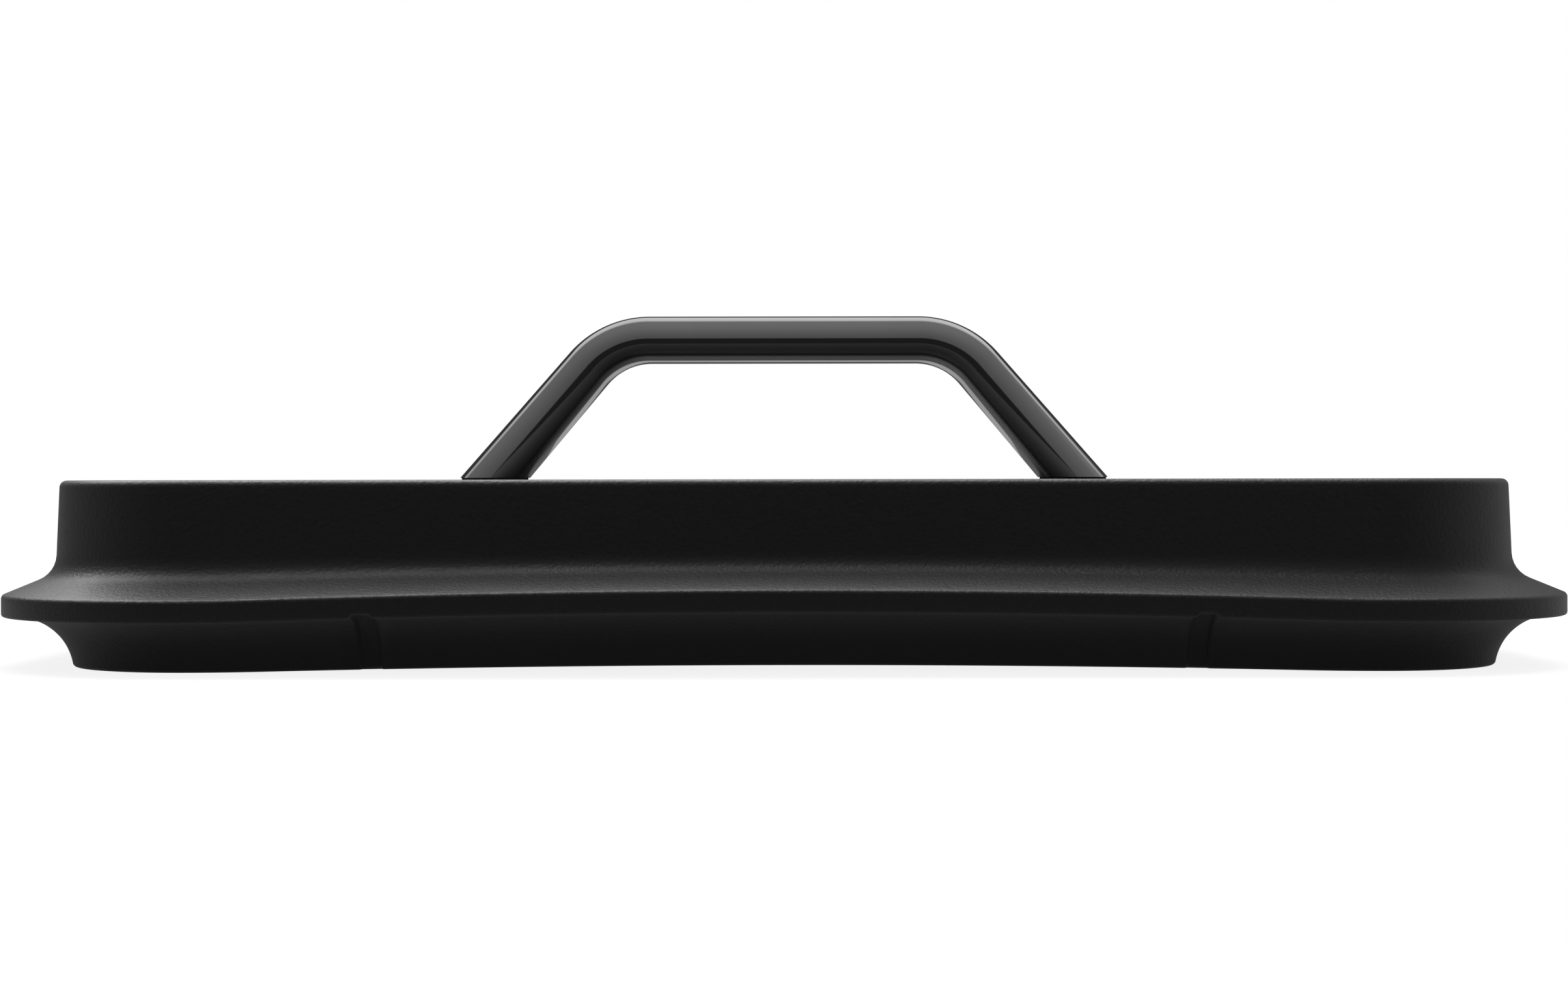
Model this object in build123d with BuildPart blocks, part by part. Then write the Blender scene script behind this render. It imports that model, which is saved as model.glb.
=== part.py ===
from build123d import *
import os
from math import atan, degrees, radians, sin, sqrt, tan

# Lid of a rectangular cast roasting pot, millimetres.
# The lid lies on the foot of its skirt, at Z = 0, and Z points up. X runs along
# the long side, and the origin is the centre of the footprint.

# Outline of the rim, seen from above
rim_length = 448
rim_width = 268
rim_corner = 58
rim_arch = 2.4  # rise of the rim at the middle of each side, above its corners
long_lead_in = 800  # radius of the gentle curve that starts the arch of a long side
short_lead_in = 200

# Section through the rim: a sloping flange with a cove and a skirt under it
flange_reach = 15  # from the wall out to the edge of the rim
flange_slope = 22.5
rim_top = 20.5  # height of the flange's outer corner
band_height = 6  # upright edge of the rim
skirt_inset = 19.8  # from the edge of the rim to the foot of the skirt
cove_radius = 16.5
root_radius = 8  # between the flange and the wall
band_round_top = 1.4
band_round_bottom = 0.8
skirt_round = 1.2

# Walls, top and hollow
height = 53
wall_draft = 2.5
top_round = 2
top_thickness = 4.5
skirt_thickness = 3
hollow_draft = 1.5
hollow_round = 7

# Steam vents: two shallow channels up the front skirt and two up the back one
vent_spacing = 227
vent_width = 6
vent_depth = 1.3

# Strap handle
handle_span = 204  # over the outer edges of the feet
handle_rise = 51.5
leg_slope = 48  # of the legs' outer faces
inner_slope = 51  # the legs grow a little thicker towards their feet
foot_length = 20.5
strap_thickness = 14.2
strap_depth = 34
bend_radius = 33  # on the outside of each bend
strap_round = 6.2

# Fixings: two screws in each foot, put in from under the lid
screw_diameter = 5
screw_spacing = 16
screw_engagement = 9
screw_wall = 2  # metal left between a screw and the inner face of the leg
thread_gap = 0.1
hole_gap = 0.5
screw_point = 0.6
tip_gap = 1.5
head_diameter = 9.5
head_height = 3
head_round = 1.2
socket_across = 3
socket_depth = 1.8
washer_diameter = 15
washer_thickness = 1.2
spring_diameter = 9.2
spring_thickness = 1.3
spring_slit = 1
washer_gap = 0.3
boss_border = 2  # the pad under the top stands out round the washers by this
boss_height = 1.5
gasket_inset = 0.8
gasket_thickness = 0.8

os.makedirs("parts", exist_ok=True)

half_length = rim_length / 2
half_width = rim_width / 2
ceiling = height - top_thickness
boss_face = ceiling - boss_height
foot_height = height + gasket_thickness


def rounded_outline(inset):
    """The rim's outline moved in by inset, as a face of the sketch that is open."""
    RectangleRounded(rim_length - 2 * inset, rim_width - 2 * inset, rim_corner - inset)


# Path of the rim: level round the corners, and arched along each side
def crest_radius(straight, lead_in):
    """Radius of an arch's middle, which meets the two curves that lead into it."""
    turn = 2 * atan(rim_arch / straight)
    return straight / sin(turn) - lead_in


def arched_side(plane, straight, lead_in):
    """The edges of one side: a curve up, the crest and a curve down, end to end."""
    turn = degrees(2 * atan(rim_arch / straight))
    with BuildLine(plane) as side:
        rising = JernArc((-straight, 0), (1, 0), lead_in, turn)
        crest = JernArc(rising @ 1, rising % 1, crest_radius(straight, lead_in), -2 * turn)
        JernArc(crest @ 1, crest % 1, lead_in, turn)
    return side.edges()


def corner_edge(centre_x, centre_y, start_angle):
    """A quarter turn of the rim."""
    with BuildLine() as corner:
        CenterArc((centre_x, centre_y), rim_corner, start_angle, 90)
    return corner.edges()


long_straight = half_length - rim_corner
short_straight = half_width - rim_corner
front_plane = Plane(origin=(0, -half_width, 0), x_dir=(1, 0, 0), z_dir=(0, -1, 0))
right_plane = Plane(origin=(half_length, 0, 0), x_dir=(0, 1, 0), z_dir=(1, 0, 0))

half_path = [
    *arched_side(front_plane, long_straight, long_lead_in),
    *corner_edge(long_straight, -short_straight, -90),
    *arched_side(right_plane, short_straight, short_lead_in),
    *corner_edge(long_straight, short_straight, 0),
]
rim_path = Wire([*half_path, *[edge.rotate(Axis.Z, 180) for edge in half_path]])

# Section of the rim, drawn out from its edge: X is 0 at the edge and Y is the height
section_plane = Plane(origin=(half_length, -short_straight, 0), x_dir=(1, 0, 0), z_dir=(0, -1, 0))
section_back = -skirt_inset - skirt_thickness - top_thickness
band_foot = rim_top - band_height
cove_drop = cove_radius - band_foot  # the cove's centre lies this far below the foot
cove_reach = sqrt(cove_radius**2 - cove_drop**2)
cove_centre = (cove_reach - skirt_inset, -cove_drop)
cove_foot_angle = 180 - degrees(atan(cove_drop / cove_reach))

with BuildSketch(section_plane) as rim_section:
    with BuildLine():
        cove = CenterArc(cove_centre, cove_radius, cove_foot_angle, 90 - cove_foot_angle)
        Polyline(
            cove @ 1,
            (0, band_foot),
            (0, rim_top),
            (section_back, rim_top - section_back * tan(radians(flange_slope))),
            (section_back, 0),
            cove @ 0,
        )
    make_face()
    rim_corners = rim_section.vertices().group_by(Axis.X)[-1].sort_by(Axis.Y)
    fillet(rim_corners[-1], band_round_top)
    fillet(rim_corners[0], band_round_bottom)
    skirt_corner = rim_section.vertices().group_by(Axis.Y)[0].sort_by(Axis.X)[-1]
    fillet(skirt_corner, skirt_round)

# The root is where the flange's top meets the wall
root_height = rim_top + flange_reach * tan(radians(flange_slope))
wall_height = height - band_foot
wall_spread = (root_height - band_foot) * tan(radians(wall_draft))


def at_root(edge):
    """True for the edges along the root, which follow the arch of the rim."""
    box = edge.bounding_box()
    return root_height - root_radius < box.min.Z and box.max.Z < root_height + root_radius


# Steam vents: each channel follows the cove, so its cutter is a disc on the cove's centre
vent_place = vent_spacing / 2
vent_arch = crest_radius(long_straight, long_lead_in)
vent_sag = vent_arch - sqrt(vent_arch**2 - vent_place**2)
vent_centre = Plane.XY.offset(rim_arch - vent_sag - cove_drop)

# Feet of the handle and the screws that hold them
foot_inner = handle_span / 2 - foot_length
foot_spacing = handle_span - foot_length
screw_reach = 2 * (foot_inner + screw_wall + screw_diameter / 2)
screw_places = GridLocations(screw_reach, screw_spacing, 2, 2)
washer_face = boss_face - washer_thickness
head_seat = washer_face - spring_thickness
head_face = head_seat - head_height

with BuildPart() as lid:
    sweep(sections=rim_section.sketch, path=rim_path)
    with BuildSketch(Plane.XY.offset(band_foot)):
        rounded_outline(flange_reach - wall_spread)
    extrude(amount=wall_height, taper=wall_draft)
    fillet(lid.edges().filter_by(at_root), root_radius)
    fillet(lid.faces().sort_by(Axis.Z)[-1].edges(), top_round)
    # Hollow, open at the bottom
    with BuildSketch():
        rounded_outline(skirt_inset + skirt_thickness)
    extrude(amount=ceiling, taper=hollow_draft, mode=Mode.SUBTRACT)
    hollow_top = lid.faces().filter_by(Plane.XY).group_by(Axis.Z)[-2]
    fillet(hollow_top.edges(), hollow_round)
    with Locations(vent_centre):
        with GridLocations(vent_spacing, rim_width + 2 * cove_centre[0], 2, 2):
            Cylinder(
                cove_radius + vent_depth, vent_width, rotation=(0, 90, 0), mode=Mode.SUBTRACT
            )
    # A pad under the top for each pair of screws
    with BuildSketch(Plane.XY.offset(boss_face)):
        with GridLocations(screw_reach, 0, 2, 1):
            SlotCenterToCenter(screw_spacing, washer_diameter + 2 * boss_border, rotation=90)
    extrude(amount=boss_height)
    with screw_places:
        Hole((screw_diameter + hole_gap) / 2)

# Handle: one thick strap bent into a level grip and two sloping legs
handle_height = handle_rise - gasket_thickness
foot_plane = Plane(origin=(0, 0, foot_height), x_dir=(1, 0, 0), z_dir=(0, -1, 0))

with BuildPart() as handle:
    with BuildSketch(foot_plane) as strap_outside:
        Trapezoid(handle_span, handle_height, leg_slope, align=(Align.CENTER, Align.MIN))
        fillet(strap_outside.vertices().group_by(Axis.Y)[-1], bend_radius)
    extrude(amount=strap_depth / 2, both=True)
    with BuildSketch(foot_plane) as strap_inside:
        Trapezoid(
            2 * foot_inner, handle_height - strap_thickness, inner_slope,
            align=(Align.CENTER, Align.MIN),
        )
        fillet(strap_inside.vertices().group_by(Axis.Y)[-1], bend_radius - strap_thickness)
    extrude(amount=strap_depth / 2, both=True, mode=Mode.SUBTRACT)
    side_edges = handle.faces().filter_by(Axis.Y).edges()
    foot_edges = handle.faces().group_by(Axis.Z)[0].edges()
    fillet(side_edges - foot_edges, strap_round)
    with BuildSketch(Plane.XY.offset(foot_height)):
        with screw_places:
            Circle(screw_diameter / 2 + thread_gap)
    extrude(amount=screw_engagement + tip_gap, mode=Mode.SUBTRACT)

with BuildPart() as gaskets:
    with BuildSketch(Plane.XY.offset(height)):
        with GridLocations(foot_spacing, 0, 2, 1):
            RectangleRounded(
                foot_length - 2 * gasket_inset, strap_depth - 2 * gasket_inset, strap_round
            )
        with screw_places:
            Circle((screw_diameter + hole_gap) / 2, mode=Mode.SUBTRACT)
    extrude(amount=gasket_thickness)

with BuildPart() as washers:
    with BuildSketch(Plane.XY.offset(washer_face)):
        with screw_places:
            Circle(washer_diameter / 2)
            Circle(screw_diameter / 2 + washer_gap, mode=Mode.SUBTRACT)
    extrude(amount=washer_thickness)

with BuildPart() as spring_washers:
    with BuildSketch(Plane.XY.offset(head_seat)):
        with screw_places:
            Circle(spring_diameter / 2)
            Circle(screw_diameter / 2 + washer_gap, mode=Mode.SUBTRACT)
            Rectangle(
                spring_diameter, spring_slit, align=(Align.MIN, Align.CENTER), mode=Mode.SUBTRACT
            )
    extrude(amount=spring_thickness)

with BuildPart() as screws:
    with BuildSketch(Plane.XY.offset(head_face)):
        with screw_places:
            Circle(head_diameter / 2)
    extrude(amount=head_height)
    fillet(screws.edges().group_by(Axis.Z)[0], head_round)
    with BuildSketch(Plane.XY.offset(head_face)):
        with screw_places:
            RegularPolygon(socket_across / 2, 6, major_radius=False)
    extrude(amount=socket_depth, mode=Mode.SUBTRACT)
    with BuildSketch(Plane.XY.offset(head_seat)):
        with screw_places:
            Circle(screw_diameter / 2)
    extrude(amount=foot_height + screw_engagement - head_seat)
    chamfer(screws.edges().group_by(Axis.Z)[-1], screw_point)

pieces = {
    "lid_body": lid,
    "handle": handle,
    "foot_gaskets": gaskets,
    "flat_washers": washers,
    "spring_washers": spring_washers,
    "handle_screws": screws,
}
for name, piece in pieces.items():
    piece.part.label = name
    export_step(piece.part, f"parts/{name}.step")
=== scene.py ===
# %% [markdown]
# Lid of a rectangular cast roasting pot
#
# This lesson dresses the frame of a cookware lid. The frame gives the real sizes: one thick
# casting with a strap handle screwed on from below. Here the casting and the handle get
# smooth meshes, every surface gets the finish of the real thing, and a plain white studio
# shows them.

# %% Load the frame
from math import asin, atan, cos, degrees, pi, radians, sin, sqrt, tan

import bmesh
import bpy
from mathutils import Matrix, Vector


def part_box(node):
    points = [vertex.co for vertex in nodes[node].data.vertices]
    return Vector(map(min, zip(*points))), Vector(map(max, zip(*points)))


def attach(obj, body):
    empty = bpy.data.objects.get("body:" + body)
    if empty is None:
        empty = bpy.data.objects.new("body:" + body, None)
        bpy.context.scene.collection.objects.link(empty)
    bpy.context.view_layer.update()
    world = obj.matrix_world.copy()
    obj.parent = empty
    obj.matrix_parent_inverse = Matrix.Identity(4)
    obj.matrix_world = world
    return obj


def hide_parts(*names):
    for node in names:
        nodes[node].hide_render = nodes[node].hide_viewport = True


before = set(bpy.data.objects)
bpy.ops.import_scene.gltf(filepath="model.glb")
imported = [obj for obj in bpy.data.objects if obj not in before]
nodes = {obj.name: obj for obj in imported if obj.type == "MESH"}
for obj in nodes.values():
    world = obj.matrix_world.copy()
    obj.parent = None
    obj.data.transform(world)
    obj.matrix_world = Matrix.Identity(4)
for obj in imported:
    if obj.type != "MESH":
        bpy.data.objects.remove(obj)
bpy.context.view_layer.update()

MM = 0.001
lid_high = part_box("lid_body")[1]
handle_low, handle_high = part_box("handle")
print("frame nodes:", sorted(nodes))

# %% [markdown]
# Helpers
#
# Colours are written as sRGB hex, as a colour picker shows them, and turned to the linear
# values that a shader wants. One small function adds a shader or geometry node with its
# settings and its links, so a material reads as a short list of what feeds what.

# %% Helpers for colours, nodes and materials
def linear(hex_colour, alpha=1.0):
    """An sRGB hex colour as linear RGBA, by the curve of the sRGB standard."""
    channels = [int(hex_colour[i : i + 2], 16) / 255 for i in (1, 3, 5)]
    return (*[c / 12.92 if c < 0.04045 else ((c + 0.055) / 1.055) ** 2.4 for c in channels], alpha)


def add(tree, kind, inputs=None, **settings):
    """A new node. An input goes by name or number: a node or socket is linked, a value is set."""
    node = tree.nodes.new(kind)
    for name, value in settings.items():
        setattr(node, name, value)
    for name, value in (inputs or {}).items():
        if isinstance(value, bpy.types.Node):
            value = next(output for output in value.outputs if output.enabled)
        if isinstance(value, bpy.types.NodeSocket):
            tree.links.new(value, node.inputs[name])
        else:
            node.inputs[name].default_value = value
    return node


def new_material(name):
    """An empty material, its tree and the Object coordinates that its patterns are drawn on."""
    material = bpy.data.materials.new(name)
    material.use_nodes = True
    material.node_tree.nodes.clear()
    place = add(material.node_tree, "ShaderNodeTexCoord").outputs["Object"]
    return material, material.node_tree, place


def dress(piece, material):
    """The piece's whole surface takes this material."""
    piece.data.materials.clear()
    piece.data.materials.append(material)


def recolour(node_name, material):
    """A CAD node keeps its mesh and takes this material."""
    for slot in nodes[node_name].material_slots:
        slot.material = material


print("middle grey as a shader wants it:", round(linear("#808080")[0], 3))

# %% [markdown]
# The casting's section
#
# The lid body is a die casting, so every wall is a smooth curve that leaves the mould
# cleanly. Its shape follows a rule: one section goes round a rounded rectangle. So the
# mesh is made by that rule too. The section is a list of points, each with its distance in
# from the edge of the rim and its height. Real arcs give the rounded corners, so light
# rolls over them as it does on metal.

# %% Sizes of the section, in millimetres, with its slope and drafts in degrees
rim_corner = 58
flange_reach, flange_slope = 15, 22.5
rim_top, band_height = 20.5, 6
skirt_inset, skirt_thickness = 19.8, 3
cove_radius, root_radius = 16.5, 8
band_round_top, band_round_bottom, skirt_round, inner_round = 1.4, 0.8, 1.2, 0.5
wall_draft, hollow_draft = 2.5, 1.5
top_round, hollow_round = 2, 7
top_thickness = 4.5

half_length = lid_high[0] / MM
half_width = lid_high[1] / MM
height = lid_high[2] / MM
band_foot = rim_top - band_height
ceiling = height - top_thickness
cove_drop = cove_radius - band_foot
cove_reach = sqrt(cove_radius**2 - cove_drop**2)
cove_centre = (skirt_inset - cove_reach, -cove_drop)
print("centre of the cove:", [round(v, 2) for v in cove_centre])

# %% Helpers for an outline with rounded corners
def rounded(points, steps=6):
    """The outline through points of (inset, height, radius), with an arc at each corner."""
    outline = []
    for i, (x, z, radius) in enumerate(points):
        here = Vector((x, z))
        if radius == 0 or i in (0, len(points) - 1):
            outline.append(here)
            continue
        before = (Vector(points[i - 1][:2]) - here).normalized()
        after = (Vector(points[i + 1][:2]) - here).normalized()
        half = before.angle(after) / 2
        centre = here + (before + after).normalized() * radius / sin(half)
        start = here + before * radius / tan(half) - centre
        end = here + after * radius / tan(half) - centre
        for k in range(steps + 1):
            turned = start.slerp(end, k / steps)
            outline.append(centre + turned.normalized() * radius)
    return outline


def spaced(outline, longest):
    """The outline with extra points, so that its steps are about this long at most."""
    filled = [outline[0]]
    for point in outline[1:]:
        step = point - filled[-1]
        count = max(1, round(step.length / longest))
        start = filled[-1]
        filled += [start + step * k / count for k in range(1, count + 1)]
    return filled


# %% Points of the section, from the top down the outside and up again in the hollow
root_height = rim_top + flange_reach * tan(radians(flange_slope))
wall_top = flange_reach + (height - root_height) * tan(radians(wall_draft))
hollow_top = skirt_inset + skirt_thickness + ceiling * tan(radians(hollow_draft))
flat_margin = 3  # of level metal past each rounded corner of the top
cove_steps = 22
longest_step = 2.5

outside = rounded(
    [
        (wall_top + top_round + flat_margin, height, 0),
        (wall_top, height, top_round),
        (flange_reach, root_height, root_radius),
        (0, rim_top, band_round_top),
        (0, band_foot, band_round_bottom),
        (cove_centre[0], band_foot, 0),
    ]
)
cove_turn = pi / 2 - asin(cove_drop / cove_radius)
cove = [
    Vector((cove_centre[0], cove_centre[1]))
    + cove_radius * Vector((sin(cove_turn * k / cove_steps), cos(cove_turn * k / cove_steps)))
    for k in range(1, cove_steps)
]
inside = rounded(
    [
        (*cove[-1], 0),
        (skirt_inset, 0, skirt_round),
        (skirt_inset + skirt_thickness, 0, inner_round),
        (hollow_top, ceiling, hollow_round),
        (hollow_top + hollow_round + flat_margin, ceiling, 0),
    ]
)
section = spaced(outside + cove + inside[1:], longest_step)
print("section points:", len(section))

# %% [markdown]
# The arch of the rim
#
# Each side of the rim arches up a little towards its middle, which the photo shows as a wave
# in the lower edge. A crest and two gentle curves that lead into it make the arch. It dies
# away up the wall, so that the top stays flat.

# %% Rise of the rim
rim_arch = 2.4
lead_in = {"long": 800, "short": 200}  # radius of the curve at each end of an arch
straight = {"long": half_length - rim_corner, "short": half_width - rim_corner}
skirt_share, band_share = 0.78, 1.12  # of the arch, at the foot of the skirt and at the band
arch_top = 38  # the height at which the arch has died away


def arch_at(distance, side):
    """Rise of the rim at this distance from the middle of a side."""
    reach, lead = straight[side], lead_in[side]
    turn = 2 * atan(rim_arch / reach)
    crest = reach / sin(turn) - lead
    if distance < crest * sin(turn):
        return rim_arch - crest + sqrt(crest**2 - distance**2)
    return lead - sqrt(max(0, lead**2 - (reach - distance) ** 2))


def arch_share(z):
    """How much of the arch a point at this height takes."""
    if z < rim_top:
        return skirt_share + (band_share - skirt_share) * min(1, z / band_foot)
    fade = min(1, (z - rim_top) / (arch_top - rim_top))
    return band_share * (1 - fade * fade * (3 - 2 * fade))


print("rise of a long side at its middle, half way out and at its end:")
print([round(arch_at(straight["long"] * share, "long"), 2) for share in (0, 0.5, 1)])

# %% [markdown]
# The steam vents
#
# Steam leaves the pot through shallow channels in the skirt, two in front and two behind.
# The mesh stands in columns along the rim. At a vent the columns stand closer, a pair at
# each edge of the channel, and the points of the skirt sink along the section's own normal.
# That keeps the channel's flanks crisp, where a Boolean would leave thin triangles.

# %% Channels of the vents
vent_place, vent_depth = 113.5, 1.3
vent_mouth, vent_floor = 3.2, 2.3  # half of the channel's width, at its mouth and its floor
vent_edge = 0.2  # the two columns of a pair stand this far to both sides of the edge
band_clear, foot_clear = 0.1, 0.4  # the channel runs on this far past the rounded edges
under_band_share = 0.85  # of the channel's depth, on the level strip under the band


def channel(x):
    """Depth of the vent channel at this place along a long side."""
    away = abs(abs(x) - vent_place)
    return vent_depth * max(0, min(1, (vent_mouth - away) / (vent_mouth - vent_floor)))


def sinking(point):
    """The way and the share by which a point of the section sinks in a vent channel."""
    inset, z = point
    past_band = z > band_foot + band_round_bottom + band_clear
    past_foot = inset > skirt_inset + skirt_round + foot_clear
    if past_band or past_foot:
        return Vector((0, 0))
    if inset < cove_centre[0]:
        return Vector((0, under_band_share))
    return (point - Vector(cove_centre)).normalized()


sinks = [sinking(point) for point in section]
print("section points that sink in a vent:", sum(sink.length > 0 for sink in sinks))

# %% Columns round the rim
column_step = 4
vent_clearance = 1.5  # no even column stands this near to one of a vent
corner_steps = 28

vent_columns = [
    hand * (vent_place + way * (edge + nudge))
    for hand in (-1, 1)
    for way in (-1, 1)
    for edge in (vent_mouth, vent_floor)
    for nudge in (-vent_edge, vent_edge)
] + [-vent_place, vent_place]


def side_places(side, extra=()):
    """Places of the columns along a side, from end to end, with the extra ones among them."""
    reach = straight[side]
    count = round(2 * reach / column_step)
    even = [-reach + 2 * reach * k / count for k in range(1, count)]
    clear = [p for p in even if all(abs(p - e) > vent_clearance for e in extra)]
    return sorted(clear + list(extra))


# Each column: its point on the edge of the rim, the way in from it, its arch and its channel
columns = []
for turn in range(4):
    side = "long" if turn % 2 == 0 else "short"
    along = Vector((cos(turn * pi / 2), sin(turn * pi / 2)))
    inward = Vector((-along.y, along.x))
    edge = half_width if side == "long" else half_length
    for place in side_places(side, vent_columns if side == "long" else ()):
        depth = channel(place) if side == "long" else 0
        columns.append((along * place - inward * edge, inward, arch_at(abs(place), side), depth))
    centre = along * straight[side] - inward * (edge - rim_corner)
    for k in range(corner_steps + 1):
        angle = turn * pi / 2 - pi / 2 + k / corner_steps * pi / 2
        outward = Vector((cos(angle), sin(angle)))
        columns.append((centre + outward * rim_corner, -outward, 0, 0))
print("columns:", len(columns))

# %% [markdown]
# Mesh of the casting
#
# Every column repeats the section, and faces join each column to the next. One face with
# many corners closes the flat top, and another the flat ceiling of the hollow.

# %% Mesh of the casting
vertices, faces = [], []
for rim_point, inward, rise, depth in columns:
    for point, sink in zip(section, sinks):
        inset, z = point + sink * depth
        place = rim_point + inward * inset
        vertices.append((place.x * MM, place.y * MM, (z + rise * arch_share(point[1])) * MM))

rows = len(section)
for c in range(len(columns)):
    after = (c + 1) % len(columns)
    for r in range(rows - 1):
        faces.append((c * rows + r, c * rows + r + 1, after * rows + r + 1, after * rows + r))
faces.append([c * rows for c in range(len(columns))])
faces.append([c * rows + rows - 1 for c in reversed(range(len(columns)))])

body_mesh = bpy.data.meshes.new("coated_body")
body_mesh.from_pydata(vertices, [], faces)
shell = bmesh.new()
shell.from_mesh(body_mesh)
bmesh.ops.recalc_face_normals(shell, faces=shell.faces)
shell.to_mesh(body_mesh)
shell.free()
body_mesh.shade_smooth()
coated_body = bpy.data.objects.new("coated_body", body_mesh)
bpy.context.collection.objects.link(coated_body)
print("casting:", len(vertices), "vertices,", len(faces), "faces")

# %% [markdown]
# Pads under the handle
#
# Inside the lid, the casting is thicker under each foot of the handle. A pad is a short
# boss with an oval outline, cast in one with the top, so it is added to the same mesh. Its
# profile is a list too: how far each ring stands out from the pad's side, and its height.

# %% Profile of a pad
washer_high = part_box("flat_washers")[1]
washer_radius = 7.5
pad_border, pad_round, pad_root = 2, 0.5, 0.8
pad_overlap = 0.2  # the pad starts this far up in the metal of the top
pad_inner = 2  # an inner ring at this distance keeps the face flat up to its edge
arc_middle = 0.3  # share of its radius at which a rounding's middle lies off both its sides
arc_steps = 16

pad_face = washer_high[2] / MM
pad_radius = washer_radius + pad_border
pad_x = washer_high[0] / MM - washer_radius
pad_half = washer_high[1] / MM - washer_radius
pad_profile = [
    (pad_root, ceiling + pad_overlap),
    (pad_root, ceiling),
    (pad_root * arc_middle, ceiling - pad_root * arc_middle),
    (0, ceiling - pad_root),
    (0, pad_face + pad_round),
    (-pad_round * arc_middle, pad_face + pad_round * arc_middle),
    (-pad_round, pad_face),
    (-pad_inner, pad_face),
]
print("pads stand", round(ceiling - pad_face, 2), "mm out of the ceiling")

# %% Pads for the screws
pads = bmesh.new()
pads.from_mesh(body_mesh)
for hand in (-1, 1):
    rings = []
    for growth, z in pad_profile:
        ring = []
        for end in (1, -1):
            for k in range(arc_steps + 1):
                angle = pi * k / arc_steps + (0 if end > 0 else pi)
                x = hand * pad_x + (pad_radius + growth) * cos(angle)
                y = end * pad_half + (pad_radius + growth) * sin(angle)
                ring.append(pads.verts.new((x * MM, y * MM, z * MM)))
        rings.append(ring)
    for upper, lower in zip(rings, rings[1:]):
        for k in range(len(upper)):
            n = (k + 1) % len(upper)
            pads.faces.new((upper[k], upper[n], lower[n], lower[k]))
    pads.faces.new(rings[-1])
    pads.faces.new(list(reversed(rings[0])))
for face in pads.faces:
    face.smooth = True
pads.to_mesh(body_mesh)
pads.free()
print("casting with its pads:", len(body_mesh.polygons), "faces")

# %% [markdown]
# The strap handle
#
# The handle is one thick bar with rounded faces, bent twice. Its shape follows a rule, so
# Geometry Nodes make it: a line of four points, Fillet Curve for the bends, and Curve to
# Mesh to carry the bar's section along it. The section is a superellipse, rounder than a
# rectangle and fuller than an oval, because polished bars are never flat: the front swells
# enough to split its reflection into a light upper band and a dark lower one. The bar
# grows a little towards its feet, so the tree thickens the legs once the bar is made.

# %% Section and line of the strap
strap_thickness, strap_depth = 14.2, 34
strap_fullness = 0.34  # at 1 the section is an ellipse, and nearer to 0 it is squarer
leg_slope, inner_slope = 48, 51
bend_radius = 33
foot_length = 20.5
overrun = 12  # the bar is made this much too long and then cut level
bend_steps, ring_steps = 40, 96
foot_z = handle_low[2] / MM
grip_z = handle_high[2] / MM
half_span = handle_high[0] / MM

foot_centre = half_span - foot_length / 2
rise = grip_z - foot_z
corner_outer = half_span - rise / tan(radians(leg_slope))
foot_inner = half_span - foot_length
corner_inner = foot_inner - (rise - strap_thickness) / tan(radians(inner_slope))
corner_x = (corner_outer + corner_inner) / 2
corner_z = grip_z - strap_thickness / 2
lean = (foot_centre - corner_x) / (corner_z - foot_z)
foot_growth = foot_length * cos(atan(lean)) / strap_thickness
print("strap grows to", round(foot_growth, 3), "times its thickness at its feet")

# %% [markdown]
# The node tree of the strap
#
# The object brings a line of four points. The tree rounds its two bends, notes where each
# point of the line lies, and carries a circle along it that is first drawn out into the
# bar's section. Then two small moves follow. One thickens the legs towards the feet, only
# across the bar and never in its depth. The other slides the last ring along the leg, up
# to the level of the foot, which is how a saw would cut the bar.

# %% Start of the strap's tree: its inputs and the bent line
strap_tree = bpy.data.node_groups.new("Strap handle", "GeometryNodeTree")
strap_tree.interface.new_socket("Geometry", in_out="INPUT", socket_type="NodeSocketGeometry")
for label in ("Thickness", "Depth", "Bend radius", "Fullness", "Top", "Foot", "Lean", "Growth"):
    strap_tree.interface.new_socket(label, in_out="INPUT", socket_type="NodeSocketFloat")
strap_tree.interface.new_socket("Material", in_out="INPUT", socket_type="NodeSocketMaterial")
strap_tree.interface.new_socket("Geometry", in_out="OUTPUT", socket_type="NodeSocketGeometry")
given = add(strap_tree, "NodeGroupInput").outputs

line = add(strap_tree, "GeometryNodeMeshToCurve", {"Mesh": given["Geometry"]})
bent = add(
    strap_tree,
    "GeometryNodeFilletCurve",
    {"Curve": line, "Radius": given["Bend radius"], "Count": bend_steps},
    mode="POLY",
)
place = add(strap_tree, "GeometryNodeInputPosition")
on_line = add(strap_tree, "GeometryNodeCaptureAttribute", {"Geometry": bent}, domain="POINT")
on_line.capture_items.new("VECTOR", "Centre")
strap_tree.links.new(place.outputs["Position"], on_line.inputs["Centre"])
print("inputs of the tree:", [output.name for output in given if output.name])

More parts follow.
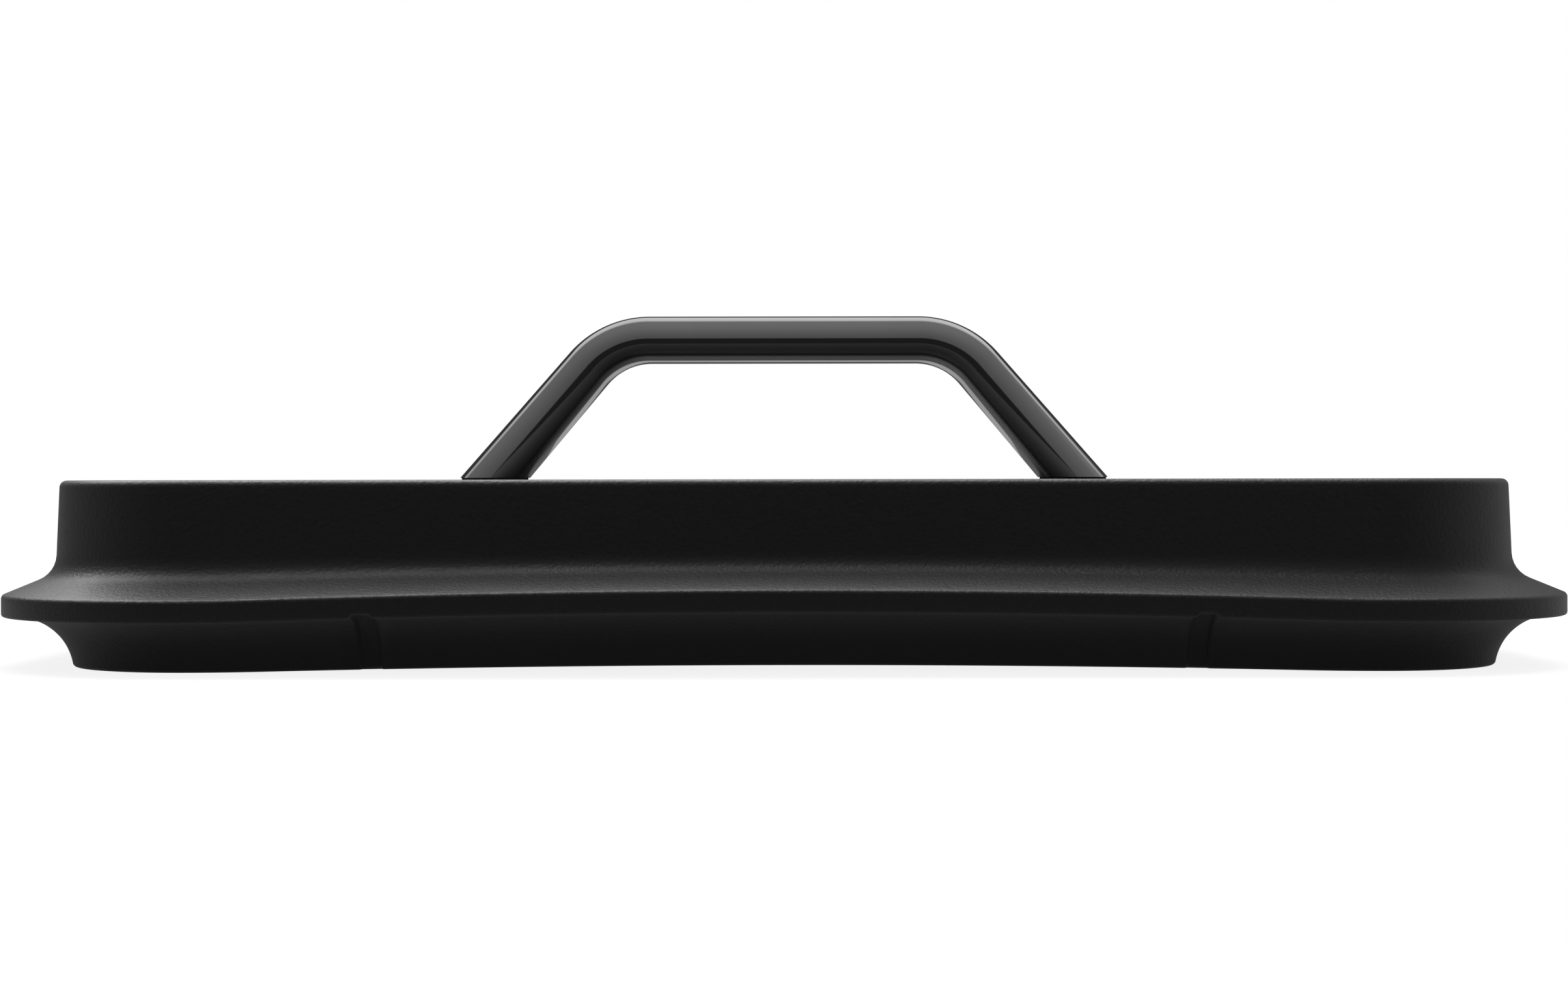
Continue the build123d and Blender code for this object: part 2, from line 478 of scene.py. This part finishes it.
# %% The bar's section, drawn out of a circle of radius 1 and carried along the line
circle = add(
    strap_tree,
    "GeometryNodeCurvePrimitiveCircle",
    {"Resolution": ring_steps, "Radius": 1.0},
    mode="RADIUS",
)
on_circle = add(strap_tree, "ShaderNodeSeparateXYZ", {"Vector": place}).outputs
reach = add(strap_tree, "ShaderNodeMath", {0: on_circle["X"]}, operation="ABSOLUTE")
shoulder = add(strap_tree, "ShaderNodeMath", {0: reach, 1: given["Fullness"]}, operation="POWER")
hand = add(strap_tree, "ShaderNodeMath", {0: on_circle["X"]}, operation="SIGN")
wide = add(strap_tree, "ShaderNodeMath", {0: shoulder, 1: hand}, operation="MULTIPLY")
unit_section = add(strap_tree, "ShaderNodeCombineXYZ", {"X": wide, "Y": on_circle["Y"]})
full_size = add(strap_tree, "ShaderNodeCombineXYZ", {"X": given["Depth"], "Y": given["Thickness"]})
half_size = add(strap_tree, "ShaderNodeVectorMath", {0: full_size, "Scale": 0.5}, operation="SCALE")
section_place = add(
    strap_tree, "ShaderNodeVectorMath", {0: unit_section, 1: half_size}, operation="MULTIPLY"
)
bar_section = add(
    strap_tree, "GeometryNodeSetPosition", {"Geometry": circle, "Position": section_place}
)
bar = add(
    strap_tree,
    "GeometryNodeCurveToMesh",
    {"Curve": on_line, "Profile Curve": bar_section, "Fill Caps": True},
)
print("tree up to the plain bar:", len(strap_tree.nodes), "nodes")

# %% The growth of the legs, from none at the bend's height to all of it at the foot
no_depth = (1, 0, 1)  # Y is the bar's depth
centre = on_line.outputs["Centre"]
centre_height = add(strap_tree, "ShaderNodeSeparateXYZ", {"Vector": centre}).outputs["Z"]
share = add(
    strap_tree,
    "ShaderNodeMapRange",
    {"Value": centre_height, "From Min": given["Top"], "From Max": given["Foot"]},
)
swelling = add(strap_tree, "ShaderNodeMath", {0: share, 1: given["Growth"]}, operation="MULTIPLY")
outward = add(strap_tree, "ShaderNodeVectorMath", {0: place, 1: centre}, operation="SUBTRACT")
across = add(strap_tree, "ShaderNodeVectorMath", {0: outward, 1: no_depth}, operation="MULTIPLY")
move = add(strap_tree, "ShaderNodeVectorMath", {0: across, "Scale": swelling}, operation="SCALE")
grown = add(strap_tree, "GeometryNodeSetPosition", {"Geometry": bar, "Offset": move})
print("tree up to the grown legs:", len(strap_tree.nodes), "nodes")

# %% The level cut: what is below the foot slides up along its leg
here = add(strap_tree, "ShaderNodeSeparateXYZ", {"Vector": place}).outputs
low = add(
    strap_tree, "FunctionNodeCompare", {"A": here["Z"], "B": given["Foot"]}, operation="LESS_THAN"
)
lift = add(strap_tree, "ShaderNodeMath", {0: given["Foot"], 1: here["Z"]}, operation="SUBTRACT")
shift = add(strap_tree, "ShaderNodeMath", {0: lift, 1: given["Lean"]}, operation="MULTIPLY")
inner_hand = add(strap_tree, "ShaderNodeMath", {0: here["X"], 1: -1.0}, operation="MULTIPLY")
inner_sign = add(strap_tree, "ShaderNodeMath", {0: inner_hand}, operation="SIGN")
drift = add(strap_tree, "ShaderNodeMath", {0: shift, 1: inner_sign}, operation="MULTIPLY")
slide = add(strap_tree, "ShaderNodeCombineXYZ", {"X": drift, "Z": lift})
cut = add(
    strap_tree,
    "GeometryNodeSetPosition",
    {"Geometry": grown, "Selection": low, "Offset": slide},
)
whole = add(strap_tree, "GeometryNodeRealizeInstances", {"Geometry": cut})
finished = add(
    strap_tree, "GeometryNodeSetMaterial", {"Geometry": whole, "Material": given["Material"]}
)
add(strap_tree, "NodeGroupOutput", {"Geometry": finished})
print("whole strap tree:", len(strap_tree.nodes), "nodes")

# %% [markdown]
# The finish of the casting
#
# The lid is die-cast aluminium with a sprayed and baked non-stick coat, which is a
# fluoropolymer, so its IOR is low. The coat is a matt black with a fine grain: it lays down
# as tiny droplets that flow together but never quite level. To the eye that gives a broad,
# soft highlight that breaks up into sparkles. So the colour is close to black, the roughness
# wanders a little, and two noises make the grain, one for the droplets and one for their
# slow waviness. A faint sheen gives the dusty veil that the coat has at flat angles.

# %% Material of the casting: baked non-stick coat on cast aluminium
def baked_coat():
    """Matt black non-stick coat, sprayed and baked, with its fine grain."""
    material, tree, place = new_material("baked_nonstick_coat")
    droplet = 1.1  # real droplets are near 0.5 mm, drawn larger so that they show
    waviness = 14  # from one slow swell of the coat to the next
    grain = add(
        tree,
        "ShaderNodeTexNoise",
        {"Vector": place, "Scale": 1 / (droplet * MM), "Detail": 3.0, "Roughness": 0.6},
    )
    wave = add(
        tree, "ShaderNodeTexNoise", {"Vector": place, "Scale": 1 / (waviness * MM), "Detail": 2.0}
    )
    tone = add(
        tree,
        "ShaderNodeMix",
        {"Factor": grain, "A": linear("#040405"), "B": linear("#18181a")},
        data_type="RGBA",
    )
    rough = add(tree, "ShaderNodeMapRange", {"Value": wave, "To Min": 0.4, "To Max": 0.48})
    bump = add(tree, "ShaderNodeBump", {"Height": grain, "Strength": 1.0, "Distance": 0.18 * MM})
    coating = add(
        tree,
        "ShaderNodeBsdfPrincipled",
        {
            "Base Color": tone,
            "Roughness": rough,
            "IOR": 1.38,
            "Sheen Weight": 0.13,
            "Sheen Roughness": 0.6,
            "Normal": bump,
        },
    )
    add(tree, "ShaderNodeOutputMaterial", {"Surface": coating})
    return material


coat = baked_coat()
dress(coated_body, coat)
print(coat.name + ":", len(coat.node_tree.nodes), "nodes")

# %% [markdown]
# The finish of the handle
#
# The handle is cast, polished and plated with dark chrome, a smoky relative of chrome that
# mirrors its surroundings at about half their brightness. A metal has no colour of its
# own beside what it mirrors, so its base colour is a plain grey and the roughness is low.
# Polishing leaves faint hairlines and slow dips, which soften the mirror a little.

# %% Material of the handle: polished dark chrome
def dark_chrome_plate():
    """Dark chrome on a polished casting, with faint polishing marks."""
    material, tree, place = new_material("polished_dark_chrome")
    hairline, dips = 1.2, 18  # real hairlines are finer, drawn larger so that they show
    marks = add(
        tree,
        "ShaderNodeTexNoise",
        {"Vector": place, "Scale": 1 / (hairline * MM), "Detail": 4.0, "Roughness": 0.65},
    )
    slow = add(
        tree, "ShaderNodeTexNoise", {"Vector": place, "Scale": 1 / (dips * MM), "Detail": 1.0}
    )
    tone = add(
        tree,
        "ShaderNodeMix",
        {"Factor": slow, "A": linear("#b2b2b2"), "B": linear("#bababa")},
        data_type="RGBA",
    )
    rough = add(tree, "ShaderNodeMapRange", {"Value": marks, "To Min": 0.04, "To Max": 0.08})
    bump = add(tree, "ShaderNodeBump", {"Height": slow, "Strength": 0.08, "Distance": 0.05 * MM})
    plating = add(
        tree,
        "ShaderNodeBsdfPrincipled",
        {"Base Color": tone, "Metallic": 1.0, "Roughness": rough, "Normal": bump},
    )
    add(tree, "ShaderNodeOutputMaterial", {"Surface": plating})
    return material


plate = dark_chrome_plate()
print(plate.name + ":", len(plate.node_tree.nodes), "nodes")

# %% [markdown]
# From the line to the handle
#
# The four points of the line come from the frame's own box and the slopes of the legs. The
# modifier gets each value by the identifier of its socket. Then the evaluated result is
# copied into a plain mesh, and the modifier is not needed any more. Last, its ends are
# welded to its sides, and only the faces of the sides are shaded smooth, so that the level
# cuts stay flat.

# %% Helpers that run a node tree
def set_inputs(modifier, values):
    """Set the named inputs of a Geometry Nodes modifier."""
    for item in modifier.node_group.interface.items_tree:
        if item.item_type == "SOCKET" and item.in_out == "INPUT" and item.name in values:
            modifier[item.identifier] = values[item.name]


def made_by_nodes(name, mesh, tree, values):
    """A plain mesh object with what the tree makes of the mesh."""
    maker = bpy.data.objects.new(name + "_maker", mesh)
    bpy.context.collection.objects.link(maker)
    modifier = maker.modifiers.new("Nodes", "NODES")
    modifier.node_group = tree
    set_inputs(modifier, values)
    evaluated = maker.evaluated_get(bpy.context.evaluated_depsgraph_get())
    result = bpy.data.meshes.new_from_object(evaluated)
    result.name = name
    bpy.data.objects.remove(maker)
    piece = bpy.data.objects.new(name, result)
    bpy.context.collection.objects.link(piece)
    return piece


# %% Build the strap handle
end_x = foot_centre + overrun * lean
end_z = foot_z - overrun
route = [(-end_x, end_z), (-corner_x, corner_z), (corner_x, corner_z), (end_x, end_z)]
route_mesh = bpy.data.meshes.new("strap_route")
route_mesh.from_pydata([(x * MM, 0, z * MM) for x, z in route], [(0, 1), (1, 2), (2, 3)], [])
strap_handle = made_by_nodes(
    "strap_handle",
    route_mesh,
    strap_tree,
    {
        "Thickness": strap_thickness * MM,
        "Depth": strap_depth * MM,
        "Bend radius": (bend_radius - strap_thickness / 2) * MM,
        "Fullness": strap_fullness,
        "Top": corner_z * MM,
        "Foot": foot_z * MM,
        "Lean": lean,
        "Growth": foot_growth - 1,
        "Material": plate,
    },
)
print("strap:", len(strap_handle.data.polygons), "faces")

# %% Weld and shade the strap, and measure it
weld_distance = 0.01
side_corners = 4  # a face along the bar has this many, and the one face of an end has more
strap = bmesh.new()
strap.from_mesh(strap_handle.data)
bmesh.ops.remove_doubles(strap, verts=strap.verts, dist=weld_distance * MM)
bmesh.ops.recalc_face_normals(strap, faces=strap.faces)
for face in strap.faces:
    face.smooth = len(face.verts) == side_corners
strap.to_mesh(strap_handle.data)
strap.free()
low = [min(v.co[i] for v in strap_handle.data.vertices) / MM for i in range(3)]
high = [max(v.co[i] for v in strap_handle.data.vertices) / MM for i in range(3)]
print("strap box:", [round(v, 2) for v in low], [round(v, 2) for v in high])
print("frame box:", [round(v / MM, 2) for v in (*handle_low, *handle_high)])

# %% [markdown]
# Fasteners and gaskets
#
# The screws, washers and gaskets come from the frame with their true shapes, so they only
# need their finishes. Stainless screws and washers are barrel-tumbled, which leaves a
# satin, slightly blotchy grey. The gaskets are moulded black silicone, matt and a bit dusty.

# %% Material of the screws and washers: tumbled stainless steel
def tumbled_stainless():
    """Stainless steel from the tumbling barrel: satin, with small soft blotches."""
    material, tree, place = new_material("tumbled_stainless_steel")
    blotch = 1.5  # the dents of the tumbling stones are finer, drawn so that they show
    noise = add(
        tree, "ShaderNodeTexNoise", {"Vector": place, "Scale": 1 / (blotch * MM), "Detail": 3.0}
    )
    tone = add(
        tree,
        "ShaderNodeMix",
        {"Factor": noise, "A": linear("#a9a8a5"), "B": linear("#bdbcb9")},
        data_type="RGBA",
    )
    rough = add(tree, "ShaderNodeMapRange", {"Value": noise, "To Min": 0.26, "To Max": 0.4})
    metal = add(
        tree,
        "ShaderNodeBsdfPrincipled",
        {"Base Color": tone, "Metallic": 1.0, "Roughness": rough},
    )
    add(tree, "ShaderNodeOutputMaterial", {"Surface": metal})
    return material


steel = tumbled_stainless()
for node_name in ("handle_screws", "flat_washers", "spring_washers"):
    recolour(node_name, steel)
    print(node_name, "takes", steel.name)

# %% Material of the gaskets: moulded silicone rubber
def moulded_silicone():
    """Black silicone rubber from an etched mould: matt, with a fine dull grain."""
    material, tree, place = new_material("moulded_black_silicone")
    etch = 0.6  # the mould's etching is finer, drawn so that it shows
    noise = add(
        tree, "ShaderNodeTexNoise", {"Vector": place, "Scale": 1 / (etch * MM), "Detail": 2.0}
    )
    tone = add(
        tree,
        "ShaderNodeMix",
        {"Factor": noise, "A": linear("#141414"), "B": linear("#1f1f20")},
        data_type="RGBA",
    )
    bump = add(tree, "ShaderNodeBump", {"Height": noise, "Strength": 0.2, "Distance": 0.05 * MM})
    rubber = add(
        tree,
        "ShaderNodeBsdfPrincipled",
        {"Base Color": tone, "Roughness": 0.72, "IOR": 1.42, "Normal": bump},
    )
    add(tree, "ShaderNodeOutputMaterial", {"Surface": rubber})
    return material


silicone = moulded_silicone()
recolour("foot_gaskets", silicone)
print("foot_gaskets takes", silicone.name)

# %% [markdown]
# Each piece in its place in the frame
#
# The casting and the handle stand for the plain solids of the frame and ride on the lid's
# only body.

# %% Bind the pieces to the frame
for piece, node_name, slot_name in (
    (coated_body, "lid_body", "coated_casting"),
    (strap_handle, "handle", "dark_chrome"),
):
    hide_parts(node_name)
    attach(piece, "root")
    print(piece.name, "stands for", node_name)

# %% [markdown]
# The studio
#
# The photo has a pure white ground, a dark front and light from above and behind. That is
# what the handle mirrors: a grey that lightens upwards in its upper half, black in its
# lower half, a thin dark outline, and a white line on its bends. The world gives that by
# the kind of ray. Camera rays see white. Mirrored rays see by their direction: a dark front
# that lightens upwards, a dark back with a white panel high up, and a soft screen at each
# end, the right one brighter. Every other ray gets a plain even light, so the colours stay
# as they are written.

# %% World
sky_light = 0.42  # for every ray that neither the camera nor a mirror sent
dark_ground, front_low, front_high = 0.02, 0.13, 0.3
back_low, back_high = 0.05, 1.0
left_screen, right_screen = 0.05, 0.35


def studio_world():
    """White to the camera, a lit room in mirrors, and even light for everything else."""
    world = bpy.data.worlds.new("studio")
    world.use_nodes = True
    tree = world.node_tree
    tree.nodes.clear()
    toward = add(tree, "ShaderNodeTexCoord").outputs["Generated"]
    x, y, z = add(tree, "ShaderNodeSeparateXYZ", {"Vector": toward}).outputs
    # Each of these is a part of the room: where it starts and ends, and how light it gets
    ground_edge = {"Value": z, "From Min": -0.03, "From Max": 0.01}
    front_wall = {
        "Value": z, "From Min": -0.2, "From Max": 1.2, "To Min": front_low, "To Max": front_high
    }
    back_wall = {
        "Value": z, "From Min": 0.48, "From Max": 0.62, "To Min": back_low, "To Max": back_high
    }
    front_to_back = {"Value": y, "From Min": 0.0, "From Max": 0.35}
    on_left = {"Value": x, "From Min": -0.15, "From Max": -0.6, "To Max": left_screen}
    on_right = {"Value": x, "From Min": 0.45, "From Max": 0.9, "To Max": right_screen}
    screen_foot = {"Value": z, "From Min": -0.5, "From Max": -0.1}
    lit, wall, back, turn, left, right, foot = [
        add(tree, "ShaderNodeMapRange", part, interpolation_type="SMOOTHSTEP")
        for part in (
            ground_edge, front_wall, back_wall, front_to_back, on_left, on_right, screen_foot
        )
    ]
    front = add(tree, "ShaderNodeMix", {"Factor": lit, "A": dark_ground, "B": wall})
    through = add(tree, "ShaderNodeMix", {"Factor": turn, "A": front, "B": back})
    screens = add(tree, "ShaderNodeMath", {0: left, 1: right}, operation="ADD")
    reach = add(tree, "ShaderNodeMath", {0: screens, 1: foot}, operation="MULTIPLY")
    mirrored = add(tree, "ShaderNodeMath", {0: through, 1: reach}, operation="MAXIMUM")
    rays = add(tree, "ShaderNodeLightPath").outputs
    camera_ray, glass_ray = rays["Is Camera Ray"], rays["Is Transmission Ray"]
    glossy_ray = rays["Is Glossy Ray"]
    even = add(tree, "ShaderNodeMix", {"Factor": glossy_ray, "A": sky_light, "B": mirrored})
    seen = add(tree, "ShaderNodeMath", {0: camera_ray, 1: glass_ray}, operation="MAXIMUM")
    strength = add(tree, "ShaderNodeMix", {"Factor": seen, "A": even, "B": 1.0})
    light = add(
        tree, "ShaderNodeBackground", {"Color": linear("#ffffff"), "Strength": strength}
    )
    add(tree, "ShaderNodeOutputWorld", {"Surface": light})
    return world


bpy.context.scene.world = studio_world()
print("world:", len(bpy.context.scene.world.node_tree.nodes), "nodes")

# %% [markdown]
# Floor
#
# Pale paper. It carries the soft shadow, and an added glow lifts its lit part to white.
# Camera rays see the whole glow, and mirrored rays a small share of it, because the photo's
# lid mirrors hardly any floor. For the same reason the paper ends close in front of the lid.

# %% Material of the floor: matt paper
paper_glow = 0.86
mirrored_glow = 0.18  # share of the glow that mirrored rays see


def paper():
    """Matt pale paper, with a glow for the camera and a faint one for mirrors."""
    material, tree, place = new_material("pale_paper")
    fibre = 3  # across one clump of paper fibres
    noise = add(tree, "ShaderNodeTexNoise", {"Vector": place, "Scale": 1 / (fibre * MM)})
    rough = add(tree, "ShaderNodeMapRange", {"Value": noise, "To Min": 0.85, "To Max": 0.95})
    rays = add(tree, "ShaderNodeLightPath").outputs
    camera_ray, glass_ray = rays["Is Camera Ray"], rays["Is Transmission Ray"]
    glossy_ray = rays["Is Glossy Ray"]
    seen = add(tree, "ShaderNodeMath", {0: camera_ray, 1: glass_ray}, operation="MAXIMUM")
    mirrored = add(tree, "ShaderNodeMath", {0: glossy_ray, 1: mirrored_glow}, operation="MULTIPLY")
    shown = add(tree, "ShaderNodeMath", {0: seen, 1: mirrored}, operation="MAXIMUM")
    glow = add(tree, "ShaderNodeMath", {0: shown, 1: paper_glow}, operation="MULTIPLY")
    sheet = add(
        tree,
        "ShaderNodeBsdfPrincipled",
        {
            "Base Color": linear("#808080"),
            "Roughness": rough,
            "Specular IOR Level": 0.1,
            "Emission Color": linear("#ffffff"),
            "Emission Strength": glow,
        },
    )
    add(tree, "ShaderNodeOutputMaterial", {"Surface": sheet})
    return material


# %% Floor
floor_left, floor_right, floor_front, floor_back = -1.2, 1.2, -0.2, 1.4
floor_corners = [
    (floor_left, floor_front, 0),
    (floor_right, floor_front, 0),
    (floor_right, floor_back, 0),
    (floor_left, floor_back, 0),
]
floor_mesh = bpy.data.meshes.new("floor")
floor_mesh.from_pydata(floor_corners, [], [(0, 1, 2, 3)])
floor = bpy.data.objects.new("floor", floor_mesh)
bpy.context.collection.objects.link(floor)
dress(floor, paper())
print("floor:", [round(side, 2) for side in floor.dimensions[:2]], "metres")

# %% [markdown]
# Lamps
#
# Two very soft lights stand above the lid. They are sun lamps with a wide angle, because
# that lights the whole floor alike. The first gives the floor its shadow and every piece its
# shading, and mirrors don't see it. The second is the long soft box that the coat's highlight
# comes from, and it adds nothing else. Only the casting takes its light, by light linking:
# the handle already mirrors the world's own soft screens, and a second highlight on it would
# be one too many.

# %% Lamps
def soft_sun(name, strength, angle, tilt, lean=0):
    """A sun lamp, with its angles in degrees.

    A tilt below zero brings its light from behind, and a lean below zero from the left.
    """
    lamp = bpy.data.lights.new(name, "SUN")
    lamp.energy = strength
    lamp.angle = radians(angle)
    sun = bpy.data.objects.new(name, lamp)
    sun.rotation_euler = (radians(tilt), radians(lean), 0)
    bpy.context.collection.objects.link(sun)
    return sun


overhead = soft_sun("soft_overhead", strength=2.0, angle=50, tilt=-20)
overhead.visible_glossy = False

coat_light = soft_sun("coat_highlight", strength=4.3, angle=56, tilt=-21, lean=-18)
coat_light.visible_diffuse = False
coated_only = bpy.data.collections.new("coated_only")
coated_only.objects.link(coated_body)
coat_light.light_linking.receiver_collection = coated_only
print("lamps:", overhead.name, "and", coat_light.name)

# %% [markdown]
# Camera
#
# The photo looks at the lid from the front with a long lens. The camera stands just below
# the height of the lid's top, so the top isn't seen, and it tilts down by a fifth of a
# degree. The focal length and the distance come from the sizes of the near and the far
# edges in the photo.

# %% Camera
image_width, image_height = 2408, 1515
focal_pixels = 4026
horizon_row = 745
sensor_width = 36
camera_distance, camera_height = 0.834, 0.0513
camera_roll = 0.09
view = bpy.data.cameras.new("photo_view")
view.sensor_width = sensor_width
view.lens = focal_pixels * sensor_width / image_width
camera = bpy.data.objects.new("photo_view", view)
camera.location = (0, -camera_distance, camera_height)
tilt = atan((image_height / 2 - horizon_row) / focal_pixels)
camera.rotation_euler = (pi / 2 - tilt, radians(camera_roll), 0)
bpy.context.collection.objects.link(camera)
bpy.context.scene.camera = camera
bpy.context.scene.view_settings.view_transform = "Standard"
print("lens:", round(view.lens, 1), "mm, tilted down by", round(degrees(tilt), 2), "degrees")
